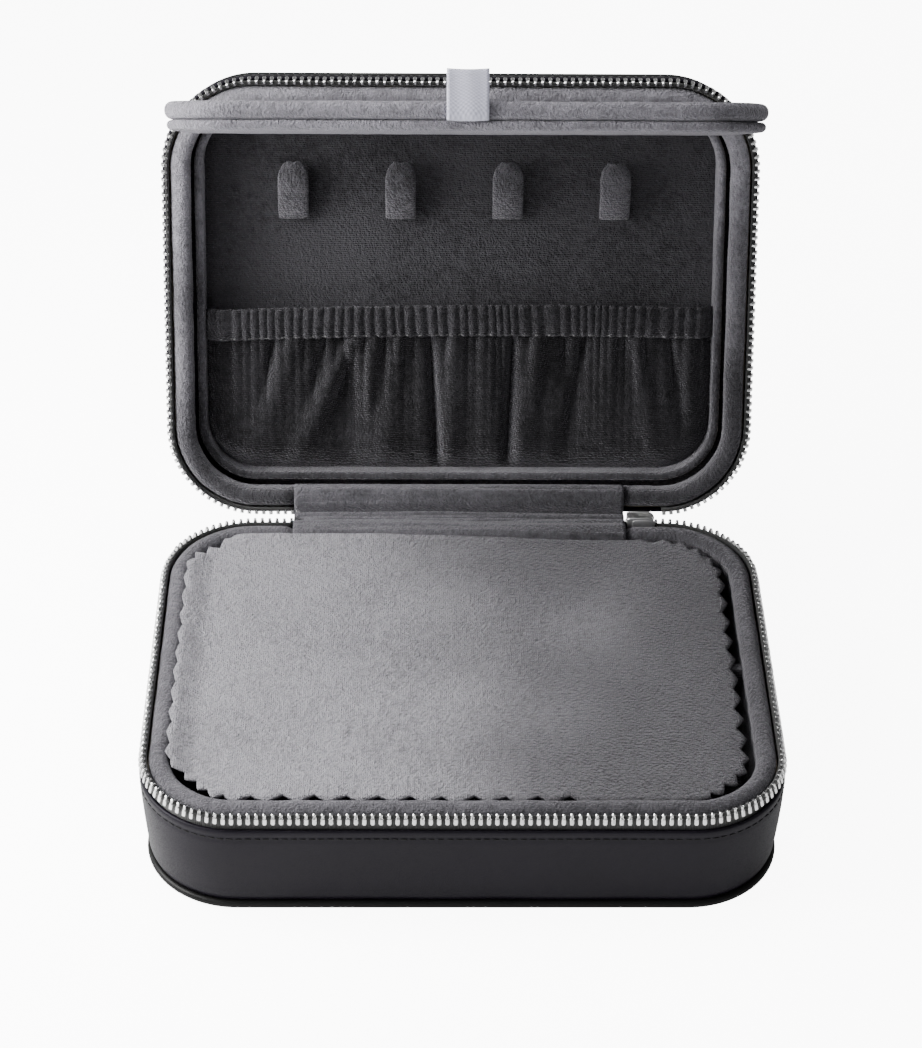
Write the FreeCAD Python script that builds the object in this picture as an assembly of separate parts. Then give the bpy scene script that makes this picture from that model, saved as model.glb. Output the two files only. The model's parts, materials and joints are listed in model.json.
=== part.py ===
# A zip-round leather jewellery case, open, with its lid standing up and its mirror flap raised.
#
# The frame: +X to the right, +Y to the back where the spine is, +Z up. The origin is the centre of the
# underside of the base. Everything is in millimetres. The lid is drawn shut and then turned open about
# the spine. The flap is drawn folded into the lid and is turned about its own fold first.

import FreeCAD, Part
import math
import os

Vec = FreeCAD.Vector

# Driving dimensions
case_width = 166.5
case_depth = 124.9
corner_radius = 25.7
parting_z = 33.1        # where the two rows of zip teeth meet
lid_height = 21.5       # parting line to the outside of the lid
lid_open_angle = 111.5
flap_open_angle = 98.0
spine_width = 94.0
spine_gap = 1.2          # axis to the edge of each half of the spine
spine_lining_drop = 1.4
spine_axis_y = 62.9
spine_axis_z = 30.6

# Thicknesses, from the outside in
leather = 1.2
board = 1.8
velvet = 1.2
rim_set_in = 2.9        # outside of the case to the outside of the padded rim
rim_width = 5.2
rim_gap = 0.4           # rim top to the parting line
leather_edge_gap = 5.3  # parting line to the folded edge of the leather wall
welt_size = 2.2
welt_thickness = 1.1
wall_inset = 0.3        # outermost edge of the welts to the leather wall
lid_panel_inset = 0.9   # the same to the flat leather panels
leather_edge_round = 0.5
rim_height = 5.8
rim_round = 2.4
board_below_rim = 6.0    # top of the padded rim to the top of the wall board
fit_gap = 0.1            # between neighbouring layers

# Zip
tooth_pitch = 2.06
tooth_length = 3.0
tooth_thickness = 1.4
tooth_leg_width = 1.05
tooth_tip_width = 0.7
tooth_lean = 16.0
tooth_set_in = 0.75       # outside of the case to the foot of a tooth
tape_set_in = 1.6
tape_thickness = 0.6
slider_length = 8.0
slider_height = 4.6
slider_plate = 0.5
slider_channel = 2.45
slider_start_x = spine_width / 2 + 0.6
pull_length = 20.0
pull_width = 5.0

# Flap
flap_width = 147.0
flap_length = 104.0
flap_front_layer = 4.4
flap_back_layer = 2.6
flap_corner = 16.0
mirror_thickness = 1.6
mirror_border = 9.0
ribbon_width = 9.8
ribbon_thickness = 0.6

# Lid fittings
hook_count = 4
hook_spacing = 30.2
hook_shift = -1.7         # the row of hooks stands a little to the left
hook_width = 8.8
hook_height = 16.0
hook_thickness = 2.0
hook_stand_off = 3.6
hook_top_gap = 17.0      # inside of the lid's rim to the free ends of the hooks
bead_size = 2.2
band_height = 8.6
pocket_mouth_y = 3.4    # the pocket's mouth, measured from the middle of the lid
pocket_depth = 8.0

# Base fittings
roll_count = 6
roll_height = 13.0
divider_thickness = 2.4
divider_x = 9.0
cloth_thickness = 1.5
cloth_z = 29.7

os.makedirs("parts", exist_ok=True)
half_w = case_width / 2
half_d = case_depth / 2
floor_z = leather + board + 0.2
base_edge_z = parting_z - leather_edge_gap
lid_edge_z = parting_z + leather_edge_gap
lid_outside_z = parting_z + lid_height
rim_top_z = parting_z - rim_gap
lid_rim_z = parting_z + rim_gap
rim_inset = rim_set_in + rim_width
flap_y0 = -(half_d - rim_inset) + 0.9
flap_axis_y = flap_y0 - 0.5
flap_axis_z = lid_rim_z + 0.1


def export(name, shape):
    shape.exportStep("parts/" + name + ".step")


def outline(inset, z):
    """The wire of the case's rounded plan, drawn in by inset, at height z."""
    w = half_w - inset
    d = half_d - inset
    r = max(corner_radius - inset, 2.0)
    k = r * (1 - math.sqrt(0.5))
    edges = []
    corners = [(w, d, 1, 1), (-w, d, -1, 1), (-w, -d, -1, -1), (w, -d, 1, -1)]
    for i, (x, y, sx, sy) in enumerate(corners):
        side = Vec(x, y - sy * r, z)
        end = Vec(x - sx * r, y, z)
        middle = Vec(x - sx * k, y - sy * k, z)
        start, finish = (side, end) if sx == sy else (end, side)
        if edges:
            edges.append(Part.LineSegment(last, start).toShape())
        else:
            first = start
        edges.append(Part.Arc(start, middle, finish).toShape())
        last = finish
    edges.append(Part.LineSegment(last, first).toShape())
    return Part.Wire(edges)


def slab(inset, z0, z1):
    return Part.Face(outline(inset, z0)).extrude(Vec(0, 0, z1 - z0))


def ring(inset, thickness, z0, z1):
    return slab(inset, z0, z1).cut(slab(inset + thickness, z0 - 1, z1 + 1))


def box(x0, x1, y0, y1, z0, z1):
    return Part.makeBox(x1 - x0, y1 - y0, z1 - z0, Vec(x0, y0, z0))


def round_over(shape, z, radius):
    """Rounds every edge that lies flat at height z."""
    flat = [e for e in shape.Edges if max(abs(e.BoundBox.ZMin - z), abs(e.BoundBox.ZMax - z)) < 1e-4]
    return shape.makeFillet(radius, flat)


def rounded_bar(x0, x1, y0, y1, z0, z1, radius):
    """A bar whose four long edges, along X, are rounded."""
    bar = box(x0, x1, y0, y1, z0, z1)
    length = abs(x1 - x0) - 0.01
    long_edges = [e for e in bar.Edges if e.BoundBox.XLength > length and e.BoundBox.YLength < 0.01]
    return bar.makeFillet(radius, long_edges)


def mirrored(shape):
    """The same shape on the other side of the parting line."""
    return shape.mirror(Vec(0, 0, parting_z), Vec(0, 0, 1))


def open_lid(shape):
    turned = shape.copy()
    turned.rotate(Vec(0, spine_axis_y, spine_axis_z), Vec(-1, 0, 0), lid_open_angle)
    return turned


def without_spine(shape, right_end):
    """Cuts the spine's stretch out of a strip that runs round the case."""
    gap = box(-spine_width / 2, right_end, half_d - 12, half_d + 12, -5, lid_outside_z + 5)
    return shape.cut(gap)


# Leather shells, boards and welts

def shells():
    export("base_leather_bottom", slab(lid_panel_inset, 0, leather))
    export("base_welt", round_over(ring(-wall_inset, welt_thickness, fit_gap, welt_size), welt_size, leather_edge_round))
    wall = ring(wall_inset, leather, welt_size + fit_gap, base_edge_z)
    export("base_leather_wall", round_over(wall, base_edge_z, leather_edge_round))
    export("base_wall_board", ring(wall_inset + leather + 0.02, board, leather + fit_gap, rim_top_z - board_below_rim))
    under_board = wall_inset + leather + board + fit_gap
    export("base_bottom_board", slab(under_board, leather + 0.05, leather + board))

    export("lid_leather_top", open_lid(slab(lid_panel_inset, lid_outside_z - leather, lid_outside_z)))
    welt_z = lid_outside_z - welt_size
    welt = ring(-wall_inset, welt_thickness, welt_z, lid_outside_z - fit_gap)
    export("lid_welt", open_lid(round_over(welt, welt_z, leather_edge_round)))
    wall = ring(wall_inset, leather, lid_edge_z, welt_z - fit_gap)
    export("lid_leather_wall", open_lid(round_over(wall, lid_edge_z, leather_edge_round)))
    board_top = lid_outside_z - leather
    wall_board = ring(wall_inset + leather + 0.02, board, lid_rim_z + board_below_rim, board_top - fit_gap)
    export("lid_wall_board", open_lid(wall_board))
    top_board = slab(under_board, board_top - board, board_top - 0.05)
    export("lid_top_board", open_lid(top_board))


# Padded velvet rims and linings

def rim(z_low, z_top):
    return round_over(ring(rim_set_in, rim_width, z_low, z_top), z_top, rim_round)


def lid_lining_z():
    return lid_outside_z - leather - board - velvet


def linings():
    half = spine_width / 2 + 0.1
    step = box(-half, half, half_d - rim_inset - 1, half_d, rim_top_z - spine_lining_drop - 0.1, parting_z)
    base_rim = rim(rim_top_z - rim_height, rim_top_z).cut(step)
    export("base_rim", base_rim)
    lid_rim = mirrored(base_rim)
    export("lid_rim", open_lid(lid_rim))

    under_board = wall_inset + leather + board + fit_gap
    export("base_lining_floor", slab(under_board + 0.1, floor_z, floor_z + velvet))
    lining_low = floor_z + velvet + 0.05
    export("base_lining_wall", ring(rim_inset - 2.2, 2.0, lining_low, rim_top_z - rim_height - fit_gap))
    lining_z = lid_lining_z()
    panel = slab(under_board + 0.1, lining_z, lid_outside_z - leather - board - 0.05)
    export("lid_lining_panel", open_lid(panel))
    bead_top = lid_rim_z + flap_front_layer + flap_back_layer + 0.5
    bead = ring(rim_inset - 0.1, bead_size, bead_top, lining_z - 0.05)
    export("lid_liner_bead", open_lid(round_over(bead, bead_top, 0.9)))


# Zip

def path_points():
    """Where the teeth stand: points, and the way out, along the plan from spine end to spine end."""
    w, d, r = half_w - tooth_set_in, half_d - tooth_set_in, corner_radius - tooth_set_in
    runs = [
        ("line", (spine_width / 2, d), (w - r, d)),
        ("arc", (w - r, d - r), 90, 0),
        ("line", (w, d - r), (w, -d + r)),
        ("arc", (w - r, -d + r), 0, -90),
        ("line", (w - r, -d), (-w + r, -d)),
        ("arc", (-w + r, -d + r), -90, -180),
        ("line", (-w, -d + r), (-w, d - r)),
        ("arc", (-w + r, d - r), 180, 90),
        ("line", (-w + r, d), (-spine_width / 2, d)),
    ]
    return runs, r


def at_length(s):
    """The point and the outward angle at length s along the zip."""
    runs, r = path_points()
    for run in runs:
        if run[0] == "line":
            (x0, y0), (x1, y1) = run[1], run[2]
            length = math.hypot(x1 - x0, y1 - y0)
            if s <= length:
                t = s / length
                out = math.degrees(math.atan2(x0 - x1, y1 - y0)) + 180
                return x0 + (x1 - x0) * t, y0 + (y1 - y0) * t, out
        else:
            (cx, cy), a0, a1 = run[1], run[2], run[3]
            length = math.radians(abs(a1 - a0)) * r
            if s <= length:
                a = a0 + (a1 - a0) * s / length
                return cx + r * math.cos(math.radians(a)), cy + r * math.sin(math.radians(a)), a
        s -= length
    return None


def zip_length():
    w, d, r = half_w - tooth_set_in, half_d - tooth_set_in, corner_radius - tooth_set_in
    straight = 4 * (w - r) + 4 * (d - r) - spine_width
    return straight + 2 * math.pi * r


def tooth():
    """One tooth at the origin, standing up and facing +X: a leg that clamps the tape and a narrow head."""
    leg_height = 0.55 * tooth_length
    half_t, half_leg, half_tip = tooth_thickness / 2, tooth_leg_width / 2, tooth_tip_width / 2
    leg = box(-half_t, half_t, -half_leg, half_leg, 0, leg_height)
    head = box(-half_t * 0.85, half_t * 0.85, -half_tip, half_tip, leg_height - 0.2, tooth_length)
    solid = leg.fuse(head).removeSplitter()
    solid.rotate(Vec(0, 0, 0), Vec(0, 1, 0), -tooth_lean)
    return solid


def teeth(skip, offset):
    """A row of teeth from skip along the zip to its far end, shifted by offset of a pitch."""
    rise = tooth_length * math.cos(math.radians(tooth_lean))
    foot_z = parting_z - 0.2 - rise
    count = int((zip_length() - skip - 0.6) / tooth_pitch - offset)
    one = tooth()
    row = []
    for i in range(count + 1):
        x, y, out = at_length(skip + 0.6 + (i + offset) * tooth_pitch)
        copy = one.copy()
        copy.rotate(Vec(0, 0, 0), Vec(0, 0, 1), out)
        copy.translate(Vec(x, y, foot_z))
        row.append(copy)
    return Part.makeCompound(row)


def zip_rows():
    lid_skip = slider_start_x + slider_length + 1.6 - spine_width / 2
    tape = ring(tape_set_in, tape_thickness, rim_top_z - rim_height - fit_gap, parting_z - tooth_length + 0.1)
    export("zip_tape_base", without_spine(tape, spine_width / 2))
    export("zip_tape_lid", open_lid(without_spine(mirrored(tape), spine_width / 2 + lid_skip)))
    export("zip_teeth_base", teeth(0, 0.0))
    export("zip_teeth_lid", open_lid(mirrored(teeth(lid_skip, 0.5))))


def slider():
    """Two plates with a post between them, straddling the base's row of teeth, and a bail on the outside."""
    y_mid = half_d - 1.12
    z1 = parting_z + 1.3
    z0 = z1 - slider_height
    x0, x1 = slider_start_x, slider_start_x + slider_length
    inner_y = y_mid - slider_channel / 2
    outer_y = y_mid + slider_channel / 2

    def plate(y_low):
        shape = box(x0, x1, y_low, y_low + slider_plate, z0, z1)
        thick = slider_plate - 0.01
        upright = [e for e in shape.Edges if e.BoundBox.YLength > thick and e.BoundBox.XLength < 0.01]
        far = [e for e in upright if e.BoundBox.XMin > x1 - 0.01]
        return shape.makeFillet(slider_height * 0.42, far)

    post = box(x0, x0 + 1.0, inner_y - 0.1, outer_y + 0.1, parting_z + 0.1, z1)
    body = plate(inner_y - slider_plate).fuse([plate(outer_y), post]).removeSplitter()
    export("slider_body", body)
    z_mid = (z0 + z1) / 2
    bail_y = outer_y + slider_plate
    bail = box(x0 + 1.4, x0 + 6.6, bail_y + 0.02, bail_y + 2.2, z_mid - 0.5, z_mid + 0.5)
    bail = bail.cut(box(x0 + 2.2, x0 + 5.8, bail_y - 0.5, bail_y + 1.6, z_mid - 2, z_mid + 2))
    export("slider_bail", bail)
    return x0 + 4.0, bail_y + 0.6, z_mid


def pull_tab(x_mid, y_pin, z_pin):
    """A flat metal pull that hangs behind the case from the bail."""
    t = 0.9
    pin = Part.makeCylinder(0.42, 3.4, Vec(x_mid - 1.7, y_pin, z_pin), Vec(1, 0, 0))
    low = z_pin - pull_length
    plate = box(x_mid - pull_width / 2, x_mid + pull_width / 2, y_pin - t / 2, y_pin + t / 2, low, z_pin - 1.6)
    corners = [e for e in plate.Edges if e.BoundBox.YLength > t - 0.01 and e.BoundBox.XLength < 0.01]
    plate = plate.makeFillet(1.6, corners)
    neck = box(x_mid - 1.3, x_mid + 1.3, y_pin - 0.3, y_pin + 0.3, z_pin - 2.4, z_pin)
    hole = Part.makeCylinder(1.1, 4, Vec(x_mid, y_pin - 2, low + 3.0), Vec(0, 1, 0))
    export("pull_tab", plate.fuse([neck, pin]).cut(hole).removeSplitter())


def end_stops():
    y_mid = half_d - 1.2
    left = -spine_width / 2 + 0.3
    low = box(left, left + 1.4, y_mid - 0.9, y_mid + 0.9, parting_z - 2.8, parting_z - 0.3)
    export("zip_end_stop_base", low)
    export("zip_end_stop_lid", open_lid(mirrored(low)))


# Spine

def spine():
    half = spine_width / 2
    out_y = half_d - 0.25
    strip = leather - 0.2
    low = box(-half, half, out_y, out_y + strip, spine_axis_z - 16, spine_axis_z - spine_gap)
    high = box(-half, half, out_y, out_y + strip, spine_axis_z + spine_gap, lid_edge_z + 8)
    export("spine_leather_base", low)
    export("spine_leather_lid", open_lid(high))
    lining_low = rim_top_z - spine_lining_drop
    lining = box(-half, half, half_d - rim_inset, half_d - rim_set_in - 0.5, lining_low, lining_low + 0.9)
    export("spine_lining_base", lining)
    export("spine_lining_lid", open_lid(mirrored(lining)))


# Flap with its mirror and ribbon

def fold_flap(shape):
    turned = shape.copy()
    turned.rotate(Vec(0, flap_axis_y, flap_axis_z), Vec(-1, 0, 0), flap_open_angle)
    return open_lid(turned)


def flap_plate(inset, z0, z1):
    x, y0, y1 = flap_width / 2 - inset, flap_y0 + inset, flap_y0 + flap_length - inset
    plate = box(-x, x, y0, y1, z0, z1)
    upright = [e for e in plate.Edges if e.BoundBox.ZLength > z1 - z0 - 0.01 and e.BoundBox.XLength < 0.01]
    upright = [e for e in upright if e.BoundBox.YLength < 0.01]
    return plate.makeFillet(flap_corner - inset, upright)


def flap():
    z0 = lid_rim_z + 0.15
    z1 = z0 + flap_front_layer
    front = flap_plate(0, z0, z1)
    recess = flap_plate(mirror_border, z0 - 1, z0 + mirror_thickness + 0.1)
    export("flap_front_layer", fold_flap(front.cut(recess)))
    export("mirror_glass", fold_flap(flap_plate(mirror_border + 0.15, z0 + 0.1, z0 + mirror_thickness)))
    export("flap_back_layer", fold_flap(flap_plate(0.5, z1 + 0.05, z1 + flap_back_layer)))
    y1 = flap_y0 + flap_length
    half = ribbon_width / 2
    tab = box(-half, half, y1 + 0.05, y1 + 0.05 + ribbon_thickness, z0 - 7.6, z1 - 0.1)
    export("flap_ribbon_tab", fold_flap(tab))


# Necklace hooks and pocket in the lid

def hooks():
    lining_z = lid_lining_z()
    y_top = -(half_d - rim_inset) + hook_top_gap
    tongue_z = lining_z - hook_stand_off
    first = hook_shift - hook_spacing * (hook_count - 1) / 2
    for i in range(hook_count):
        x = first + i * hook_spacing
        x0, x1 = x - hook_width / 2, x + hook_width / 2
        foot = box(x0, x1, y_top + hook_height - 4.5, y_top + hook_height, tongue_z, lining_z - 0.02)
        tongue = box(x0, x1, y_top, y_top + hook_height, tongue_z - hook_thickness, tongue_z)
        upright = [e for e in tongue.Edges if e.BoundBox.XLength < 0.01 and e.BoundBox.YLength < 0.01]
        tongue = tongue.makeFillet(2.6, [e for e in upright if e.BoundBox.YMin < y_top + 1])
        export("necklace_hook_%d" % (i + 1), open_lid(foot.fuse(tongue).removeSplitter()))


def pocket():
    lining_z = lid_lining_z()
    in_x = half_w - rim_inset - bead_size
    in_y = half_d - rim_inset - bead_size
    face_z = lining_z - pocket_depth
    band = box(-in_x + 0.3, in_x - 0.3, pocket_mouth_y, pocket_mouth_y + band_height, face_z, face_z + 2.0)
    export("pocket_band", open_lid(band))
    pouch = box(-in_x, in_x, pocket_mouth_y + band_height + 0.05, in_y, face_z, face_z + 1.5)
    inner = slab(rim_inset + bead_size + 0.1, face_z - 1, lining_z + 1)
    export("pocket_pouch", open_lid(pouch.common(inner)))
    seam = box(-in_x, in_x, in_y - 2.2, in_y - 0.1, face_z + 1.55, lining_z - 0.05).common(inner)
    export("pocket_bottom_seam", open_lid(seam))


# Ring rolls, dividers and the loose cloth in the base

def base_fittings():
    low = floor_z + velvet + 0.1
    in_x = half_w - rim_inset - 0.1
    in_y = half_d - rim_inset - 0.1
    inside = slab(rim_inset + 0.1, 0, parting_z)
    top = cloth_z - 0.3
    across = box(divider_x, divider_x + divider_thickness, -in_y, in_y, low, top)
    export("divider_across", across)
    half = divider_thickness / 2
    short = box(divider_x + divider_thickness + 0.05, in_x, -half, half, low, top)
    export("divider_short", short)
    pitch = 2 * in_y / roll_count
    for i in range(roll_count):
        y0 = -in_y + i * pitch + 0.3
        roll = rounded_bar(-in_x, divider_x - 0.3, y0, y0 + pitch - 0.6, low, low + roll_height, 5.5)
        export("ring_roll_%d" % (i + 1), roll.common(inside))


def cloth():
    export("cover_cloth", slab(rim_inset + 0.9, cloth_z, cloth_z + cloth_thickness))


shells()
linings()
zip_rows()
pull_tab(*slider())
end_stops()
spine()
flap()
hooks()
pocket()
base_fittings()
cloth()
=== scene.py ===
import bpy, bmesh, json, math
from mathutils import Matrix, Vector, noise


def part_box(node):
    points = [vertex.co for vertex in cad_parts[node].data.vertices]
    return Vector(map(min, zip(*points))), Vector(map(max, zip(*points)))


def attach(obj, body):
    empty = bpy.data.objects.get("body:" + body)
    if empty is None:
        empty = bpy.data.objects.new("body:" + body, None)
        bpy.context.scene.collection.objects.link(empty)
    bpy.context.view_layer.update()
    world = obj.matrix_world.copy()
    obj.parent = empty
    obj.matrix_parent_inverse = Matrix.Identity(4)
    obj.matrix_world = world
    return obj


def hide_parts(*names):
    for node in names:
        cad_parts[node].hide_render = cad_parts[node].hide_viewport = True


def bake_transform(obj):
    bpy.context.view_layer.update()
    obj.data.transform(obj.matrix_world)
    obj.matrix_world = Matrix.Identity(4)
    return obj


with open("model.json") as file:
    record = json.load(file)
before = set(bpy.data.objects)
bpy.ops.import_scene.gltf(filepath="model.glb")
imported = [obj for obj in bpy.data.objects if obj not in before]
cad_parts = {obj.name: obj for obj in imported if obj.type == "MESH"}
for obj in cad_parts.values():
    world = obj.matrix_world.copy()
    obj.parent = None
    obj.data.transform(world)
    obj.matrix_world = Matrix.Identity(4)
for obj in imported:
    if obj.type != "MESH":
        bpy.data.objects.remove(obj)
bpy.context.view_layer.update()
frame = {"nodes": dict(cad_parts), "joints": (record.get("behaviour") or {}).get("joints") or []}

mm = 0.001
print("frame loaded:", len(frame["nodes"]), "nodes")

# The case's plan and its two turning axes, read from the frame
def jointPlace(name):
    joint = next(j for j in frame["joints"] if j["name"] == name)
    return Vector(joint["pos_m"])


caseShape = dict(wallInset=0.3 * mm, cornerRadius=25.7 * mm, partingZ=33.1 * mm, lidHeight=21.5 * mm,
                 lidOpen=111.5, flapOpen=98.0)
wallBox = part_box("base_leather_wall")
halfWidth = wallBox[1][0] + caseShape["wallInset"]
halfDepth = wallBox[1][1] + caseShape["wallInset"]
wallTop = wallBox[1][2]
partingZ = caseShape["partingZ"]
cornerRadius = caseShape["cornerRadius"]
lidAxis = jointPlace("lid_hinge")


def turnedAbout(axis, degrees):
    turn = Matrix.Rotation(-math.radians(degrees), 4, "X")
    return Matrix.Translation(axis) @ turn @ Matrix.Translation(-axis)


openLid = turnedAbout(lidAxis, caseShape["lidOpen"])
flapAxis = openLid.inverted() @ jointPlace("flap_fold")
raiseFlap = openLid @ turnedAbout(flapAxis, caseShape["flapOpen"])
mirrorUp = Matrix.Translation((0, 0, 2 * partingZ)) @ Matrix.Scale(-1, 4, (0, 0, 1))
toLid = openLid @ mirrorUp          # from base shapes to the standing lid
lidTopZ = partingZ + caseShape["lidHeight"]     # outside of the lid, drawn shut


# Materials

def newMaterial(name):
    material = bpy.data.materials.new(name)
    material.use_nodes = True
    nodes = material.node_tree.nodes
    return material, nodes, material.node_tree.links, nodes["Principled BSDF"]


def newGroup(name, inputs, outputs):
    group = bpy.data.node_groups.new(name, "ShaderNodeTree")
    for label, kind, value in inputs:
        socket = group.interface.new_socket(label, in_out="INPUT", socket_type=kind)
        if value is not None:
            socket.default_value = value
    for label, kind in outputs:
        group.interface.new_socket(label, in_out="OUTPUT", socket_type=kind)
    return group, group.nodes.new("NodeGroupInput"), group.nodes.new("NodeGroupOutput")


def setInputs(node, **values):
    for key, value in values.items():
        node.inputs[key.replace("_", " ")].default_value = value


def addNode(tree, kind, links=(), **values):
    node = tree.nodes.new(kind)
    for key, value in values.items():
        if hasattr(node, key):
            setattr(node, key, value)
        else:
            node.inputs[key.replace("_", " ")].default_value = value
    for socket, source in links:
        tree.links.new(source, node.inputs[socket])
    return node


def mixColors(tree, factor, colorA, colorB):
    mix = tree.nodes.new("ShaderNodeMix")
    mix.data_type = "RGBA"
    tree.links.new(factor, mix.inputs["Factor"])
    for socket, color in ((mix.inputs[6], colorA), (mix.inputs[7], colorB)):
        if hasattr(color, "is_linked"):
            tree.links.new(color, socket)
        else:
            socket.default_value = color
    return mix.outputs[2]


def mathNode(tree, operation, *sources):
    # each source is a socket or a plain number
    node = tree.nodes.new("ShaderNodeMath")
    node.operation = operation
    for index, source in enumerate(sources):
        if hasattr(source, "is_linked"):
            tree.links.new(source, node.inputs[index])
        else:
            node.inputs[index].default_value = source
    return node.outputs[0]


def noiseNode(tree, vector, scale, detail, **values):
    node = addNode(tree, "ShaderNodeTexNoise", [("Vector", vector)], Scale=scale, Detail=detail, **values)
    return node.outputs[0]


def rangeNode(tree, value, fromRange=(0.0, 1.0), toRange=(0.0, 1.0), kind="LINEAR"):
    node = addNode(tree, "ShaderNodeMapRange", [("Value", value)], interpolation_type=kind)
    node.inputs["From Min"].default_value, node.inputs["From Max"].default_value = fromRange
    node.inputs["To Min"].default_value, node.inputs["To Max"].default_value = toRange
    return node.outputs[0]


napShape = dict(curl=(1500, 1050, 1500), rowPitch=0.56 * mm, rowDrift=9.0)


def buildNapGroup():
    group, into, out = newGroup("velvetNap",
        [("Vector", "NodeSocketVector", None), ("Pile", "NodeSocketFloat", 1.0),
         ("Streak", "NodeSocketFloat", 1.0), ("Rows", "NodeSocketFloat", 0.3)],
        [("Shade", "NodeSocketFloat"), ("Height", "NodeSocketFloat")])
    vector = into.outputs["Vector"]
    brush = noiseNode(group, vector, 38, 3)
    loose = noiseNode(group, vector, 420, 2)
    stretch = addNode(group, "ShaderNodeMapping", [("Vector", vector)])
    stretch.inputs["Scale"].default_value = napShape["curl"]
    curl = noiseNode(group, stretch.outputs[0], 1.0, 3, Roughness=0.62)
    broad = mathNode(group, "MULTIPLY", brush, into.outputs["Streak"])
    fine = mathNode(group, "MULTIPLY", curl, into.outputs["Pile"])
    total = mathNode(group, "ADD", mathNode(group, "ADD", loose, broad), fine)
    parts = addNode(group, "ShaderNodeSeparateXYZ", [("Vector", vector)])
    phase = mathNode(group, "MULTIPLY", parts.outputs["Y"], 2 * math.pi / napShape["rowPitch"])
    drift = mathNode(group, "MULTIPLY", loose, napShape["rowDrift"])
    wave = mathNode(group, "SINE", mathNode(group, "ADD", phase, drift))
    ribbed = mathNode(group, "MULTIPLY", wave, into.outputs["Rows"])
    group.links.new(rangeNode(group, total, (1.1, 1.85)), out.inputs["Shade"])
    group.links.new(mathNode(group, "ADD", fine, ribbed), out.inputs["Height"])
    return group


def buildGrainGroup():
    group, into, out = newGroup("leatherGrain",
        [("Vector", "NodeSocketVector", None), ("Size", "NodeSocketFloat", 1500.0)],
        [("Crease", "NodeSocketFloat"), ("Height", "NodeSocketFloat"), ("Cloud", "NodeSocketFloat")])
    vector = into.outputs["Vector"]
    warp = addNode(group, "ShaderNodeTexNoise", [("Vector", vector)], Scale=260, Detail=2)
    bent = addNode(group, "ShaderNodeVectorMath", [(0, warp.outputs["Color"])], operation="SCALE")
    bent.inputs["Scale"].default_value = 0.0012
    added = addNode(group, "ShaderNodeVectorMath", [(0, vector), (1, bent.outputs[0])], operation="ADD")
    moved = added.outputs[0]
    cells = addNode(group, "ShaderNodeTexVoronoi", [("Vector", moved), ("Scale", into.outputs["Size"])],
                    feature="DISTANCE_TO_EDGE")
    crease = rangeNode(group, cells.outputs["Distance"], (0.0, 0.16))
    pores = noiseNode(group, moved, 1900, 2)
    group.links.new(crease, out.inputs["Crease"])
    group.links.new(mathNode(group, "ADD", crease, pores), out.inputs["Height"])
    group.links.new(noiseNode(group, vector, 24, 4), out.inputs["Cloud"])
    return group


def buildWeaveGroup():
    group, into, out = newGroup("threadWeave",
        [("Vector", "NodeSocketVector", None), ("Across", "NodeSocketFloat", 2400.0),
         ("Along", "NodeSocketFloat", 2400.0)],
        [("Height", "NodeSocketFloat")])
    parts = addNode(group, "ShaderNodeSeparateXYZ", [("Vector", into.outputs["Vector"])])
    waves = []
    for axis, rate in ((0, "Across"), (1, "Along")):
        scaled = mathNode(group, "MULTIPLY", parts.outputs[axis], into.outputs[rate])
        waves.append(mathNode(group, "SINE", scaled))
    group.links.new(mathNode(group, "MULTIPLY", *waves), out.inputs["Height"])
    return group


napGroup = buildNapGroup()
grainGroup = buildGrainGroup()
weaveGroup = buildWeaveGroup()


def placeGroup(tree, group, vector):
    node = tree.nodes.new("ShaderNodeGroup")
    node.node_tree = group
    tree.links.new(vector, node.inputs["Vector"])
    return node


def addBump(tree, shader, height, strength, distance):
    bump = addNode(tree, "ShaderNodeBump", [("Height", height)], Strength=strength, Distance=distance)
    tree.links.new(bump.outputs[0], shader.inputs["Normal"])


paintedShadeDrift = dict(scale=17, reach=0.12, shift=0.06)


def paintedShadeColor(tree, coords, shade, colors, plain, paintedShade):
    # painted shade: the colour darkens from one place along an axis to another, standing in for light that
    # falls off away from the lamps
    axis, start, end, depth = paintedShade
    parts = addNode(tree, "ShaderNodeSeparateXYZ", [("Vector", coords)])
    cloud = noiseNode(tree, coords, paintedShadeDrift["scale"], 1)
    drift = mathNode(tree, "MULTIPLY_ADD", cloud, paintedShadeDrift["reach"], parts.outputs[axis])
    shadeFall = rangeNode(tree, drift, (start + paintedShadeDrift["shift"], end + paintedShadeDrift["shift"]), kind="SMOOTHSTEP")
    deep = [tuple(value * depth for value in color[:3]) + (1,) for color in colors]
    return mixColors(tree, shadeFall, plain, mixColors(tree, shade, *deep))


def velvetMaterial(name, dark, light, sheen, pile=1.0, streak=1.0, rows=0.03, lean=0.0, spin=0.0,
                   paintedShade=None):
    # lean and spin turn the rows of pile
    material, nodes, links, shader = newMaterial(name)
    tree = material.node_tree
    coords = nodes.new("ShaderNodeTexCoord").outputs["Object"]
    turn = addNode(tree, "ShaderNodeMapping", [("Vector", coords)])
    turn.inputs["Rotation"].default_value = (math.radians(lean), 0, math.radians(spin))
    nap = placeGroup(tree, napGroup, turn.outputs[0])
    setInputs(nap, Rows=rows, Pile=pile, Streak=streak)
    color = mixColors(tree, nap.outputs["Shade"], dark, light)
    # painted shade, where given: darker colour over part of the piece
    if paintedShade:
        color = paintedShadeColor(tree, coords, nap.outputs["Shade"], (dark, light), color, paintedShade)
    links.new(color, shader.inputs["Base Color"])
    setInputs(shader, Roughness=0.95, Specular_IOR_Level=0.15, Sheen_Weight=sheen, Sheen_Roughness=0.38,
              Sheen_Tint=(0.87, 0.85, 0.92, 1))
    addBump(tree, shader, nap.outputs["Height"], 1.0, 0.0011)
    return material


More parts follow.
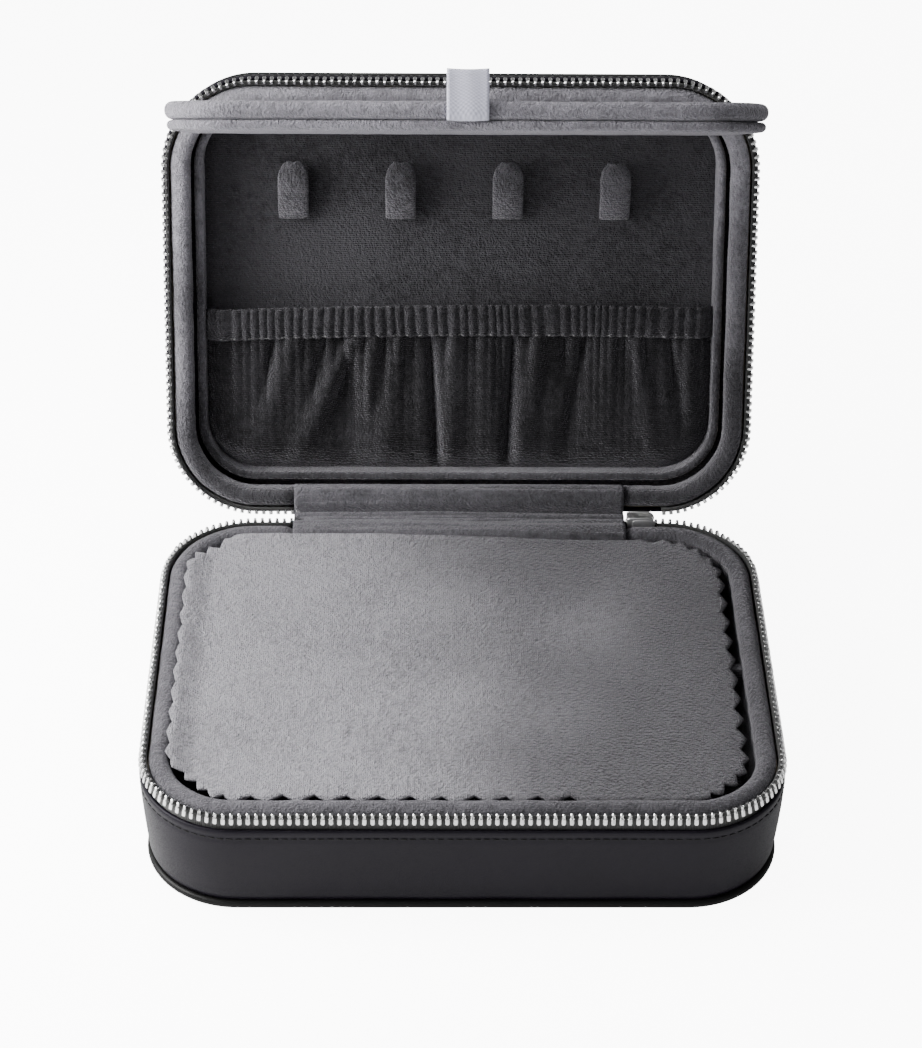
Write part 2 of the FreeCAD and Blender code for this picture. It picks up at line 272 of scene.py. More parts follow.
def leatherMaterial(name, dark, light, roughness, grain, depth):
    material, nodes, links, shader = newMaterial(name)
    tree = material.node_tree
    skin = placeGroup(tree, grainGroup, nodes.new("ShaderNodeTexCoord").outputs["Object"])
    skin.inputs["Size"].default_value = grain
    links.new(mixColors(tree, skin.outputs["Cloud"], dark, light), shader.inputs["Base Color"])
    rough = rangeNode(tree, skin.outputs["Crease"], toRange=(roughness + 0.16, roughness))
    links.new(rough, shader.inputs["Roughness"])
    setInputs(shader, Specular_IOR_Level=0.13, Coat_Weight=0.02, Coat_Roughness=0.3)
    addBump(tree, shader, skin.outputs["Height"], depth, 0.0002)
    return material


def wovenMaterial(name, dark, light, rates, roughness, sheen, strength=0.6):
    material, nodes, links, shader = newMaterial(name)
    tree = material.node_tree
    weave = placeGroup(tree, weaveGroup, nodes.new("ShaderNodeTexCoord").outputs["Object"])
    weave.inputs["Across"].default_value, weave.inputs["Along"].default_value = rates
    shade = rangeNode(tree, weave.outputs["Height"], (-1.0, 1.0))
    links.new(mixColors(tree, shade, dark, light), shader.inputs["Base Color"])
    setInputs(shader, Roughness=roughness, Sheen_Weight=sheen)
    addBump(tree, shader, weave.outputs["Height"], strength, 0.0001)
    return material


def metalMaterial(name, dark, light, roughness, scratch):
    material, nodes, links, shader = newMaterial(name)
    tree = material.node_tree
    coords = nodes.new("ShaderNodeTexCoord").outputs["Object"]
    tarnish = noiseNode(tree, coords, 190, 3)
    links.new(mixColors(tree, tarnish, dark, light), shader.inputs["Base Color"])
    fine = noiseNode(tree, coords, 2200, 3)
    links.new(rangeNode(tree, fine, toRange=(roughness, roughness + 0.14)), shader.inputs["Roughness"])
    shader.inputs["Metallic"].default_value = 1.0
    addBump(tree, shader, fine, scratch, 0.00005)
    return material


def gray(value, tint=0.0):
    return (value, value * (1 - tint * 0.4), value * (1 + tint), 1)


caseLeather = leatherMaterial("caseLeather", (0.0045, 0.0036, 0.0066, 1), (0.0078, 0.0062, 0.011, 1),
                              0.4, 1700.0, 0.07)
weltLeather = leatherMaterial("weltLeather", gray(0.005), gray(0.009), 0.3, 2200.0, 0.12)
standing = caseShape["lidOpen"]
# painted shade: the base rim velvet, the cover and the flap darken towards the right, away from the window
# light, and the lid's rim velvet darkens towards its bottom
rimVelvet = velvetMaterial("rimVelvet", gray(0.05, 0.08), gray(0.125, 0.08), 0.35,
                           paintedShade=("X", -0.02, 0.06, 0.62))
# painted light: the lid's rim velvet is the base rim velvet made twice as light, for the light that falls on
# the standing lid's rim
lidRimVelvet = velvetMaterial("lidRimVelvet", gray(0.1, 0.08), gray(0.25, 0.08), 0.5, lean=standing,
                              paintedShade=("Z", 0.11, 0.045, 0.22))
liningVelvet = velvetMaterial("liningVelvet", gray(0.014, 0.08), gray(0.048, 0.08), 0.3, 1.1, 1.5, 0.07,
                              standing)
pouchVelvet = velvetMaterial("pouchVelvet", gray(0.006, 0.08), gray(0.026, 0.08), 0.35, 0.8, 1.1, 0.06,
                             standing)
hookVelvet = velvetMaterial("hookVelvet", gray(0.022, 0.08), gray(0.09, 0.08), 0.4, 1.4, 1.0, 0.06, standing)
bandVelvet = velvetMaterial("bandVelvet", gray(0.008, 0.08), gray(0.036, 0.08), 0.25, 1.1, 1.0, 0.05,
                            standing)
coverVelvet = velvetMaterial("coverVelvet", gray(0.125, 0.06), gray(0.33, 0.06), 0.4, 1.7, 0.7, 0.05, spin=90,
                             paintedShade=("X", -0.04, 0.06, 0.2))
flapVelvet = velvetMaterial("flapVelvet", gray(0.095, 0.09), gray(0.25, 0.09), 0.5, 1.2,
                            paintedShade=("X", 0.0, 0.075, 0.5))
threadRates = (14000.0, 14000.0)
tapeWeave = wovenMaterial("tapeWeave", gray(0.004), gray(0.011), (9000.0, 9000.0), 0.8, 0.2)
ribbonSatin = wovenMaterial("ribbonSatin", (0.4, 0.4, 0.5, 1), (0.55, 0.55, 0.66, 1), (5200.0, 16000.0),
                            0.38, 0.3, 0.35)
darkThread = wovenMaterial("darkThread", gray(0.0015), gray(0.003), threadRates, 0.95, 0.0)
paleThread = wovenMaterial("paleThread", gray(0.12), gray(0.2), threadRates, 0.6, 0.3)
toothMetal = metalMaterial("toothMetal", gray(0.72), gray(0.9), 0.16, 0.2)
sliderMetal = metalMaterial("sliderMetal", gray(0.62), gray(0.75), 0.34, 0.25)
greyBoard = leatherMaterial("greyBoard", (0.24, 0.21, 0.17, 1), (0.34, 0.3, 0.25, 1), 0.85, 900.0, 0.3)


def mirrorMaterial():
    material, nodes, links, shader = newMaterial("mirrorSilver")
    tree = material.node_tree
    smear = noiseNode(tree, nodes.new("ShaderNodeTexCoord").outputs["Object"], 30, 4)
    links.new(rangeNode(tree, smear, toRange=(0.01, 0.05)), shader.inputs["Roughness"])
    setInputs(shader, Base_Color=(0.93, 0.94, 0.95, 1), Metallic=1.0)
    return material


mirrorSilver = mirrorMaterial()
print("materials made")


# Mesh helpers

def linkPiece(name, data):
    piece = bpy.data.objects.new(name, data)
    bpy.context.collection.objects.link(piece)
    return piece


def addPiece(name, points, faces, material, smooth=True, closed=True):
    mesh = bpy.data.meshes.new(name)
    mesh.from_pydata([tuple(p) for p in points], [], faces)
    return dressMesh(linkPiece(name, mesh), material, smooth, closed)


def dressMesh(piece, material, smooth=True, closed=True):
    mesh = piece.data
    work = bmesh.new()
    work.from_mesh(mesh)
    bmesh.ops.remove_doubles(work, verts=work.verts, dist=1e-6)
    if closed:
        bmesh.ops.recalc_face_normals(work, faces=work.faces)
    work.to_mesh(mesh)
    work.free()
    mesh.materials.clear()
    mesh.materials.append(material)
    for polygon in mesh.polygons:
        polygon.use_smooth = smooth
    return piece


def finishPiece(piece, body, slotName, *nodes):
    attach(piece, body)
    if nodes:
        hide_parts(*nodes)
    return piece


def applyModifiers(piece):
    evaluated = piece.evaluated_get(bpy.context.evaluated_depsgraph_get())
    mesh = bpy.data.meshes.new_from_object(evaluated)
    old = piece.data
    piece.modifiers.clear()
    piece.data = mesh
    bpy.data.meshes.remove(old)


def moveMesh(piece, matrix):
    piece.data.transform(matrix)
    if matrix.determinant() < 0:
        piece.data.flip_normals()
    piece.data.update()


def gridFaces(rows, columns):
    # faces of an open sheet of rows by columns cells
    width = columns + 1
    return [(r * width + c, r * width + c + 1, (r + 1) * width + c + 1, (r + 1) * width + c)
            for r in range(rows) for c in range(columns)]


def ringFaces(rings, count, base=0):
    # faces between closed rings of count points each
    return [(base + r * count + i, base + r * count + (i + 1) % count,
             base + (r + 1) * count + (i + 1) % count, base + (r + 1) * count + i)
            for r in range(rings - 1) for i in range(count)]


def cappedFaces(rings, count, reverseFirst=False):
    # the same with both ends closed
    first, last = tuple(range(count)), tuple(range((rings - 1) * count, rings * count))
    ends = [first[::-1], last] if reverseFirst else [first, last[::-1]]
    return ringFaces(rings, count) + ends


# The plan of the case: length runs clockwise from the middle of the back

straightX = halfWidth - cornerRadius
straightY = halfDepth - cornerRadius
quarter = cornerRadius * math.pi / 2
planLength = 4 * straightX + 4 * straightY + 4 * quarter


def planPlace(length):
    # point on the outside of the case and the outward direction there
    length = length % planLength
    sides = ((straightX, (0, 1), (1, 0), (0, halfDepth)),
             (2 * straightY, (1, 0), (0, -1), (halfWidth, straightY)),
             (2 * straightX, (0, -1), (-1, 0), (straightX, -halfDepth)),
             (2 * straightY, (-1, 0), (0, 1), (-halfWidth, -straightY)),
             (straightX, (0, 1), (1, 0), (-straightX, halfDepth)))
    centers = ((straightX, straightY, 90), (straightX, -straightY, 0),
               (-straightX, -straightY, -90), (-straightX, straightY, 180))
    for index, (run, out, along, start) in enumerate(sides):
        if length <= run or index == 4:
            return Vector((start[0] + along[0] * length, start[1] + along[1] * length, 0)), Vector((*out, 0))
        length -= run
        if length <= quarter:
            cx, cy, angle = centers[index]
            turn = math.radians(angle) - length / cornerRadius
            out = Vector((math.cos(turn), math.sin(turn), 0))
            return Vector((cx, cy, 0)) + out * cornerRadius, out
        length -= quarter


def sweepRing(name, profile, material, step=2.0 * mm, start=0.0, end=None, shape=None):
    # profile: (inset, height) points of a closed outline; an end of None goes all the way round
    whole = end is None
    length = planLength if whole else end - start
    count = max(8, int(length / step))
    stations = count if whole else count + 1
    points, faces = [], []
    size = len(profile)
    for i in range(stations):
        along = start + length * i / count
        place, out = planPlace(along)
        for k, (inset, height) in enumerate(profile):
            extra = shape(along, k, inset, height) if shape else (0.0, 0.0)
            spot = place - out * (inset + extra[0])
            points.append((spot.x, spot.y, height + extra[1]))
    for i in range(count):
        j = (i + 1) % stations
        for k in range(size):
            n = (k + 1) % size
            faces.append((i * size + k, j * size + k, j * size + n, i * size + n))
    if not whole:
        faces.append(tuple(range(size)))
        faces.append(tuple(reversed(range((stations - 1) * size, stations * size))))
    return addPiece(name, points, faces, material)


def arcPoints(cx, cz, radius, fromAngle, toAngle, steps):
    angles = [math.radians(fromAngle + (toAngle - fromAngle) * i / steps) for i in range(steps + 1)]
    return [(cx + radius * math.cos(a), cz + radius * math.sin(a)) for a in angles]


def softRectangle(x0, x1, z0, z1, lowRadius, topRadius, steps=5):
    points = arcPoints(x0 + lowRadius, z0 + lowRadius, lowRadius, 270, 180, steps)
    points += arcPoints(x0 + topRadius, z1 - topRadius, topRadius, 180, 90, steps)
    points += arcPoints(x1 - topRadius, z1 - topRadius, topRadius, 90, 0, steps)
    points += arcPoints(x1 - lowRadius, z0 + lowRadius, lowRadius, 0, -90, steps)
    return points


def panelDisc(name, inset, z, crown, thickness, material, ripple=0.0, rings=16, step=4.0 * mm):
    # a panel of the case's plan that swells by crown in its middle, closed by its flat under side
    count = int(planLength / step)
    points, faces = [], []
    for level, height in ((0, z + thickness), (1, z)):
        for r in range(rings):
            share = (1 - r / rings) ** 0.8 if r else 1.0
            for i in range(count):
                place, out = planPlace(planLength * i / count)
                spot = (place - out * inset) * share
                lift = crown * (1 - share ** 6) if level == 0 else 0.0
                if level == 0 and r:
                    lift += ripple * noise.noise(spot * 90) + ripple * 0.6 * noise.noise(spot * 260)
                points.append((spot.x, spot.y, height + lift))
        points.append((0, 0, height + (crown if level == 0 else 0)))
    layer = rings * count + 1
    for level in (0, 1):
        base = level * layer
        for r in range(rings - 1):
            for i in range(count):
                j = (i + 1) % count
                low, high = base + r * count, base + (r + 1) * count
                faces.append((low + i, high + i, high + j, low + j))
        rim = base + (rings - 1) * count
        faces += [(rim + i, base + layer - 1, rim + (i + 1) % count) for i in range(count)]
    for i in range(count):
        j = (i + 1) % count
        faces.append((i, j, layer + j, layer + i))
    return addPiece(name, points, faces, material)


# Leather walls, panels and welts

leatherWall = dict(thickness=1.2 * mm, foot=2.35 * mm, taper=1.5 * mm, swell=0.35 * mm, stitchDrop=2.7 * mm,
                   dent=0.22 * mm, dentWidth=0.5 * mm, pinch=0.5 * mm, pinchHeight=1.2 * mm, steps=26)
boardShape = dict(thickness=1.8 * mm, gap=0.1 * mm, belowFoot=1.0 * mm, belowTop=1.1 * mm)
weltShape = dict(radius=1.1 * mm, inset=0.45 * mm, height=1.15 * mm)


def wallProfile(foot, top):
    x0 = caseShape["wallInset"]
    half = leatherWall["thickness"] / 2
    profile = []
    for i in range(leatherWall["steps"] + 1):
        z = foot + (top - half - foot) * i / leatherWall["steps"]
        share = (z - foot) / (top - foot)
        swell = leatherWall["swell"] * math.sin(math.pi * share) ** 0.7
        toSeam = (z - top + leatherWall["stitchDrop"]) / leatherWall["dentWidth"]
        dent = leatherWall["dent"] * math.exp(-toSeam ** 2)
        pinch = leatherWall["pinch"] * math.exp(-((z - foot) / leatherWall["pinchHeight"]) ** 2)
        taper = leatherWall["taper"] * (1 - share)
        profile.append((x0 - swell + dent + pinch + taper, z))
    profile += arcPoints(x0 + half, top - half, half, 180, 0, 8)[1:]
    profile.append((x0 + leatherWall["thickness"] + leatherWall["taper"], foot))
    return profile


def boardProfile(foot, top):
    # the stiff board behind the leather, which leans in with it
    low, high = foot - boardShape["belowFoot"], top - boardShape["belowTop"]
    outer = caseShape["wallInset"] + leatherWall["thickness"] + boardShape["gap"]
    lean = [leatherWall["taper"] * (top - z) / (top - foot) for z in (low, high)]
    thick = boardShape["thickness"]
    return [(outer + lean[0], low), (outer + lean[1], high),
            (outer + lean[1] + thick, high), (outer + lean[0] + thick, low)]


def softWave(along, k, inset, height):
    turn = along / planLength * 2 * math.pi
    place = Vector((math.cos(turn) * 6, math.sin(turn) * 6, height * 60))
    return (0.12 * mm * noise.noise(place), 0.0)


def buildLeather():
    taper = leatherWall["taper"]
    # the lid is shallower, so its foot stands nearer to the parting line
    lidLift = partingZ - (lidTopZ - partingZ)
    basePanel = panelDisc("baseLeatherPanel", 1.0 * mm + taper, 0.0, 0.0, 1.2 * mm, caseLeather)
    lidPanel = panelDisc("lidLeatherPanel", 0.8 * mm + taper, lidTopZ - 1.3 * mm, 0.7 * mm, 0.9 * mm,
                         caseLeather, 0.12 * mm, 24)
    moveMesh(lidPanel, openLid)
    for body, lift, panel, flat in (("base", 0.0, basePanel, "base_leather_bottom"),
                                    ("lid", lidLift, lidPanel, "lid_leather_top")):
        foot = lift + leatherWall["foot"]
        wall = sweepRing(body + "LeatherWall", wallProfile(foot, wallTop), caseLeather, 1.6 * mm,
                         shape=softWave)
        board = sweepRing(body + "WallBoard", boardProfile(foot, wallTop), greyBoard, 2.0 * mm)
        weltInset = weltShape["inset"] + 0.1 * mm + taper
        profile = arcPoints(weltInset, weltShape["height"] + lift, weltShape["radius"], 0, 345, 23)
        welt = sweepRing(body + "Welt", profile, weltLeather)
        for piece, slotName, node in ((wall, "leather", body + "_leather_wall"),
                                      (board, "board", body + "_wall_board"), (welt, "welt", body + "_welt")):
            if body == "lid":
                moveMesh(piece, toLid)
            finishPiece(piece, body, slotName, node)
        finishPiece(panel, body, "leather", flat)


buildLeather()
print("leather made")


# Padded velvet rims and linings

rimShape = dict(outside=2.9 * mm, inside=8.1 * mm, depth=5.9 * mm, top=partingZ - 0.4 * mm,
                round=2.5 * mm, crease=0.16 * mm)
beadShape = dict(outside=8.8 * mm, width=2.3 * mm, top=41.6 * mm)
spineHalf = 47.0 * mm
spineRims = dict(drop=1.45 * mm, slope=1.5 * mm)


def rimWave(along, k, inset, height):
    place, out = planPlace(along)
    rough = noise.noise(Vector((place.x, place.y, height)) * 120) * rimShape["crease"]
    rough += noise.noise(Vector((place.x, place.y, height)) * 420) * rimShape["crease"] * 0.35
    fromMiddle = min(along, planLength - along)
    share = min(max((spineHalf + spineRims["slope"] - fromMiddle) / spineRims["slope"], 0), 1)
    high = (height - rimShape["top"] + rimShape["depth"]) / rimShape["depth"]
    return (rough, -spineRims["drop"] * share * high + rough * 0.5)


def beadWave(along, k, inset, height):
    return (0.14 * mm * noise.noise(Vector((along * 90, height * 200, 3))), 0.0)


def buildRims():
    low = rimShape["top"] - rimShape["depth"]
    profile = softRectangle(rimShape["outside"], rimShape["inside"], low, rimShape["top"],
                            0.4 * mm, rimShape["round"], 7)
    for body in ("base", "lid"):
        velvet = rimVelvet if body == "base" else lidRimVelvet
        rim = sweepRing(body + "Rim", profile, velvet, 1.4 * mm, shape=rimWave)
        if body == "lid":
            moveMesh(rim, toLid)
        finishPiece(rim, body, "velvet", body + "_rim")
    innerZ = lidTopZ - 4.2 * mm
    bead = softRectangle(beadShape["outside"], beadShape["outside"] + beadShape["width"], beadShape["top"],
                         innerZ, 1.1 * mm, 0.3 * mm)
    beadPiece = sweepRing("lidBead", bead, lidRimVelvet, 1.6 * mm, shape=beadWave)
    moveMesh(beadPiece, openLid)
    finishPiece(beadPiece, "lid", "velvet", "lid_liner_bead")
    back = panelDisc("lidLining", 2.6 * mm, 0.0, 0.0, 1.2 * mm, liningVelvet, 0.22 * mm, 22)
    moveMesh(back, Matrix.Translation((0, 0, innerZ + 1.2 * mm)) @ Matrix.Rotation(math.pi, 4, "Y"))
    moveMesh(back, openLid)
    finishPiece(back, "lid", "velvet", "lid_lining_panel")


buildRims()
print("rims and linings made")


# Zip teeth, tape and stitches, repeated along paths by geometry nodes

zipShape = dict(pitch=2.06 * mm, setIn=0.75 * mm, length=3.0 * mm, lean=16.0, tapeInset=1.6 * mm,
                tapeThick=0.6 * mm, lidSkip=10.2 * mm, endGap=0.6 * mm, tapeDrop=1.45 * mm)
stitchShape = dict(pitch=2.3 * mm, length=1.75 * mm, radius=0.19 * mm)


def buildRepeatTree():
    tree = bpy.data.node_groups.new("repeatAlongPath", "GeometryNodeTree")
    for socket, kind in (("Geometry", "Geometry"), ("Piece", "Object"), ("Spacing", "Float"),
                         ("Unevenness", "Float"), ("Material", "Material")):
        tree.interface.new_socket(socket, in_out="INPUT", socket_type="NodeSocket" + kind)
    tree.interface.new_socket("Geometry", in_out="OUTPUT", socket_type="NodeSocketGeometry")
    into, out = tree.nodes.new("NodeGroupInput"), tree.nodes.new("NodeGroupOutput")
    curve = addNode(tree, "GeometryNodeMeshToCurve", [("Mesh", into.outputs["Geometry"])])
    spots = addNode(tree, "GeometryNodeResampleCurve",
                    [("Curve", curve.outputs[0]), ("Length", into.outputs["Spacing"])], mode="LENGTH")
    tangent = tree.nodes.new("GeometryNodeInputTangent")
    turn = addNode(tree, "FunctionNodeAlignRotationToVector", [("Vector", tangent.outputs[0])],
                   axis="X", pivot_axis="Z")
    info = addNode(tree, "GeometryNodeObjectInfo", [("Object", into.outputs["Piece"])])
    less = mathNode(tree, "MULTIPLY", into.outputs["Unevenness"], -1)
    chance = addNode(tree, "FunctionNodeRandomValue", data_type="FLOAT")
    tree.links.new(less, chance.inputs[2])
    tree.links.new(into.outputs["Unevenness"], chance.inputs[3])
    chance.inputs["Seed"].default_value = 7
    tilt = addNode(tree, "ShaderNodeCombineXYZ", [("Z", chance.outputs[1]), ("X", chance.outputs[1])])
    tilted = addNode(tree, "FunctionNodeRotateRotation",
                     [("Rotation", turn.outputs[0]), ("Rotate By", tilt.outputs[0])], rotation_space="LOCAL")
    copies = addNode(tree, "GeometryNodeInstanceOnPoints",
                     [("Points", spots.outputs[0]), ("Instance", info.outputs["Geometry"]),
                      ("Rotation", tilted.outputs[0])])
    real = addNode(tree, "GeometryNodeRealizeInstances", [("Geometry", copies.outputs[0])])
    dressed = addNode(tree, "GeometryNodeSetMaterial",
                      [("Geometry", real.outputs[0]), ("Material", into.outputs["Material"])])
    tree.links.new(dressed.outputs[0], out.inputs[0])
    return tree


repeatTree = buildRepeatTree()


def repeatAlong(name, path, unit, spacing, unevenness, material):
    mesh = bpy.data.meshes.new(name)
    mesh.from_pydata([tuple(p) for p in path], [(i, i + 1) for i in range(len(path) - 1)], [])
    piece = linkPiece(name, mesh)
    modifier = piece.modifiers.new("repeat", "NODES")
    modifier.node_group = repeatTree
    values = dict(Piece=unit, Spacing=spacing, Unevenness=unevenness, Material=material)
    for item in repeatTree.interface.items_tree:
        if item.in_out == "INPUT" and item.name in values:
            modifier[item.identifier] = values[item.name]
    applyModifiers(piece)
    piece.data.materials.clear()
    piece.data.materials.append(material)
    return piece


def toothUnit():
    # a leg that clamps the tape, a waist and a rounded head, leaning inwards
    # each row: height, half of the width and half of the depth, in mm
    rows = ((0.0, 0.46, 0.62), (0.25, 0.52, 0.7), (1.5, 0.52, 0.7), (1.8, 0.4, 0.66), (2.15, 0.36, 0.62),
            (2.7, 0.4, 0.6), (3.0, 0.26, 0.42))
    cut = 0.18
    points = []
    for z, hx, hy in rows:
        outline = ((hx, hy - cut), (hx - cut, hy), (-hx + cut, hy), (-hx, hy - cut),
                   (-hx, -hy + cut), (-hx + cut, -hy), (hx - cut, -hy), (hx, -hy + cut))
        points += [Vector((x, y, z)) * mm for x, y in outline]
    faces = cappedFaces(len(rows), 8, reverseFirst=True)
    unit = addPiece("toothUnit", points, faces, toothMetal, smooth=False)
    unit.data.transform(Matrix.Rotation(math.radians(zipShape["lean"]), 4, "X"))
    return unit


def stitchUnit(radius, length):
    # each row: share of the length and share of the radius
    sides, rows = 6, ((-0.5, 0.25), (-0.38, 0.85), (0.0, 1.0), (0.38, 0.85), (0.5, 0.25))
    points = []
    for share, swell in rows:
        for k in range(sides):
            a = 2 * math.pi * k / sides
            points.append((length * share, radius * swell * math.cos(a), radius * swell * math.sin(a)))
    return addPiece("stitchUnit", points, cappedFaces(len(rows), sides), darkThread)


def pathAround(inset, height, start, end, step=1.0 * mm):
    count = int((end - start) / step)
    path = []
    for i in range(count + 1):
        place, out = planPlace(start + (end - start) * i / count)
        spot = place - out * inset
        path.append(Vector((spot.x, spot.y, height)))
    return path


def buildZip():
    unit = toothUnit()
    rise = zipShape["length"] * math.cos(math.radians(zipShape["lean"]))
    footZ = partingZ - 0.2 * mm - rise
    first = spineHalf + zipShape["endGap"]
    last = planLength - first
    for body, skip in (("base", 0.0), ("lid", zipShape["lidSkip"] + zipShape["pitch"] / 2)):
        path = pathAround(zipShape["setIn"], footZ, first + skip, last)
        teeth = repeatAlong(body + "ZipTeeth", path, unit, zipShape["pitch"], 0.05, toothMetal)
        tapeTop = partingZ - zipShape["tapeDrop"]
        x0, x1 = zipShape["tapeInset"], zipShape["tapeInset"] + zipShape["tapeThick"]
        profile = [(x0, wallTop - 1.6 * mm), (x0, tapeTop - 0.9 * mm)]
        profile += arcPoints(x0 + 0.25 * mm, tapeTop - 0.3 * mm, 0.55 * mm, 200, -20, 8)
        profile += [(x1, tapeTop - 0.9 * mm), (x1, wallTop - 1.6 * mm)]
        tape = sweepRing(body + "ZipTape", profile, tapeWeave, 2.0 * mm,
                         first - zipShape["endGap"] + skip, last + zipShape["endGap"])
        if body == "lid":
            moveMesh(teeth, toLid)
            moveMesh(tape, toLid)
        finishPiece(teeth, body, "tooth_metal", "zip_teeth_" + body)
        finishPiece(tape, body, "zip_tape", "zip_tape_" + body)
    bpy.data.objects.remove(unit)
    thread = stitchUnit(stitchShape["radius"], stitchShape["length"])
    stitchZ = wallTop - leatherWall["stitchDrop"]
    for body in ("base", "lid"):
        inset = caseShape["wallInset"] + 0.12 * mm
        path = pathAround(inset, stitchZ, 0.0, planLength - stitchShape["pitch"])
        row = repeatAlong(body + "Stitches", path, thread, stitchShape["pitch"], 0.12, darkThread)
        if body == "lid":
            moveMesh(row, toLid)
        finishPiece(row, body, "leather")
    bpy.data.objects.remove(thread)


buildZip()
print("zip made")


# Flat strips built from a side outline and a width

def stripGrid(route, halfX, columns, ripple=None):
    # route: (y, z) points; returns grid points and faces of a strip that spans x from -halfX to halfX
    points = []
    rows = len(route) - 1
    for r, (y, z) in enumerate(route):
        for c in range(columns + 1):
            x = -halfX + 2 * halfX * c / columns
            dy, dz = ripple(x, r / rows) if ripple else (0.0, 0.0)
            points.append(Vector((x, y + dy, z + dz)))
    return points, gridFaces(rows, columns)


def smoothRoute(route, steps):
    # a smooth line through the given side points
    points = []
    last = len(route) - 1
    for i in range(last):
        p0, p1, p2, p3 = [Vector(route[max(0, min(i + k, last))]) for k in (-1, 0, 1, 2)]
        for k in range(steps):
            t = k / steps
            square = (2 * p0 - 5 * p1 + 4 * p2 - p3) * t ** 2
            cube = (3 * p1 - p0 - 3 * p2 + p3) * t ** 3
            points.append(0.5 * (2 * p1 + (p2 - p0) * t + square + cube))
    points.append(Vector(route[last]))
    return [(p.x, p.y) for p in points]


def thicken(piece, thickness, levels=0):
    # half of the thickness goes to either side
    solid = piece.modifiers.new("thickness", "SOLIDIFY")
    solid.thickness = thickness
    solid.offset = 0.0
    if levels:
        fine = piece.modifiers.new("smooth", "SUBSURF")
        fine.levels = fine.render_levels = levels
    applyModifiers(piece)
    return dressMesh(piece, piece.data.materials[0])


def lidSide(y, z):
    # a side point of the shut lid, in mm, carried to the standing lid
    spot = openLid @ Vector((0, y * mm, z * mm))
    return (spot.y, spot.z)


def baseSide(y, z):
    return (y * mm, z * mm)


def buildSpine():
    route = [baseSide(53.9, 29.6), baseSide(53.9, 31.7), baseSide(55.0, 33.0), baseSide(57.6, 33.3),
             baseSide(60.3, 32.9), baseSide(62.6, 31.9), baseSide(64.6, 31.7), lidSide(60.4, 33.9),
             lidSide(58.0, 32.8), lidSide(55.2, 32.9), lidSide(53.9, 34.4), lidSide(53.9, 37.0)]

    def wrinkle(x, t):
        fade = math.exp(-((t - 0.56) / 0.32) ** 2)
        wave = noise.noise(Vector((x * 16, t * 19, 1.7))) * 1.1
        wave += noise.noise(Vector((x * 60, t * 40, 5.1))) * 0.35
        bulge = math.cos(min(abs(x) / spineHalf, 1) * math.pi / 2) ** 0.3
        crease = -0.85 * mm * abs(math.sin(t * 22 + 1.3 * noise.noise(Vector((x * 14, 0, 3)))))
        return (-0.25 * mm * wave * fade, (0.8 * mm * wave + crease - 0.5 * mm * (1 - bulge)) * fade)

    points, faces = stripGrid(smoothRoute(route, 7), spineHalf, 90, ripple=wrinkle)
    lining = addPiece("spineLining", points, faces, rimVelvet, closed=False)
    thicken(lining, 0.8 * mm)
    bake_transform(lining)
    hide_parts("spine_lining_base", "spine_lining_lid")
    route = [baseSide(62.75, 14.6), baseSide(62.8, 20.0), baseSide(62.8, 26.0), baseSide(62.95, 28.6),
             baseSide(63.8, 30.3), baseSide(65.4, 30.4), lidSide(62.95, 35.6), lidSide(62.8, 40.0),
             lidSide(62.75, 46.2)]
    points, faces = stripGrid(smoothRoute(route, 6), spineHalf, 60)
    hide = addPiece("spineLeather", points, faces, caseLeather, closed=False)
    thicken(hide, 0.9 * mm)
    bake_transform(hide)
    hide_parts("spine_leather_base", "spine_leather_lid")


buildSpine()
print("spine made")


# The pocket, its elastic mouth and the hooks in the lid, drawn on the shut lid

pocketShape = dict(mouthY=3.4 * mm, band=8.6 * mm, faceZ=42.4 * mm, liningZ=50.4 * mm, halfX=72.2 * mm,
                   endY=51.6 * mm, corner=15.6 * mm, ribs=52, bow=1.2 * mm)

# folds of the pouch: place at the mouth, drift towards the bottom, width, depth (a ridge when below 0), reach
pocketFolds = (
    (-66, -2, 3, 1.8, 0.8), (-53, -6, 2.4, 3.2, 0.5), (-47, -14, 4.4, -2.8, 1.0), (-38, -10, 2.8, 2.6, 0.5),
    (-30, -19, 3.4, -3.6, 1), (-33, 1, 4.6, 3.6, 1.15), (-24, -4, 2.4, -2.6, 0.6), (-17, -5, 3.4, -2.4, 0.95),
    (-8.4, 2.4, 1.7, 5.4, 1.1), (-1, -2, 3.4, -2.8, 1.05), (7, 2, 4, -1.6, 0.9), (15.3, -1.5, 1.7, 6.4, 1.15),
    (23, -6, 3.6, -3.0, 1.0), (30, 0, 1.8, 2.6, 0.4), (36, -6, 3.0, 3.8, 0.95), (43, -2, 4.0, -1.6, 0.8),
    (50, 7, 2.8, -2.4, 0.9), (60, 6, 2.6, 2.8, 0.8), (66, 2, 3, -1.2, 0.6))


def gatherLines(x):
    # uneven ribs of the gathered cloth: the phase wanders along the band
    wander = 2.4 * noise.noise(Vector((x * 45, 4.2, 0))) + 0.5 * noise.noise(Vector((x * 160, 1.1, 0)))
    return math.sin(math.pi * 2 * (x / (2 * pocketShape["halfX"]) * pocketShape["ribs"] + wander))


